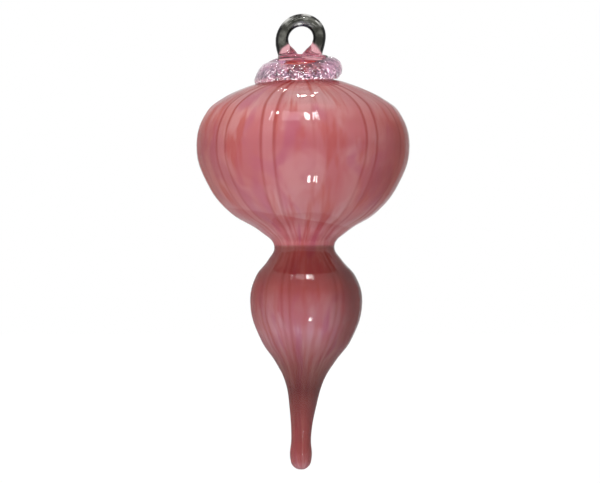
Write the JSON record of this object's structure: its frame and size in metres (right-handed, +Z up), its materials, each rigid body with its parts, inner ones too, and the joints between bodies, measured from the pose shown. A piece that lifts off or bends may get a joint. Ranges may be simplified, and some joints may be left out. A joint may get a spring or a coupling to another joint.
{
  "type": "teardrop ornament",
  "caption": "Hollow ribbed pink glass drop with a large bulb, a narrow waist, a small bulb and a thin tail, closed by a clear glass collar and hanging eye.",
  "frame": {"origin": "top of the hole in the hanging eye, on its inner edge, where the hook or thread bears", "axes": "+Z up along the ornament's axis, opposite to its pull; +Y through the hole of the eye, away from the front; +X to the right seen from the front"},
  "size_m": [0.0838, 0.0838, 0.1778],
  "materials": {
    "pink_glass": "glossy, milky and translucent, with soft vertical streaks",
    "clear_glass": "glossy, clear with a faint grey and lilac tint"
  },
  "bodies": {
    "root": {"blown_body": "pink_glass", "neck_collar": "clear_glass", "hanging_loop": "clear_glass"}
  },
  "joints": []
}
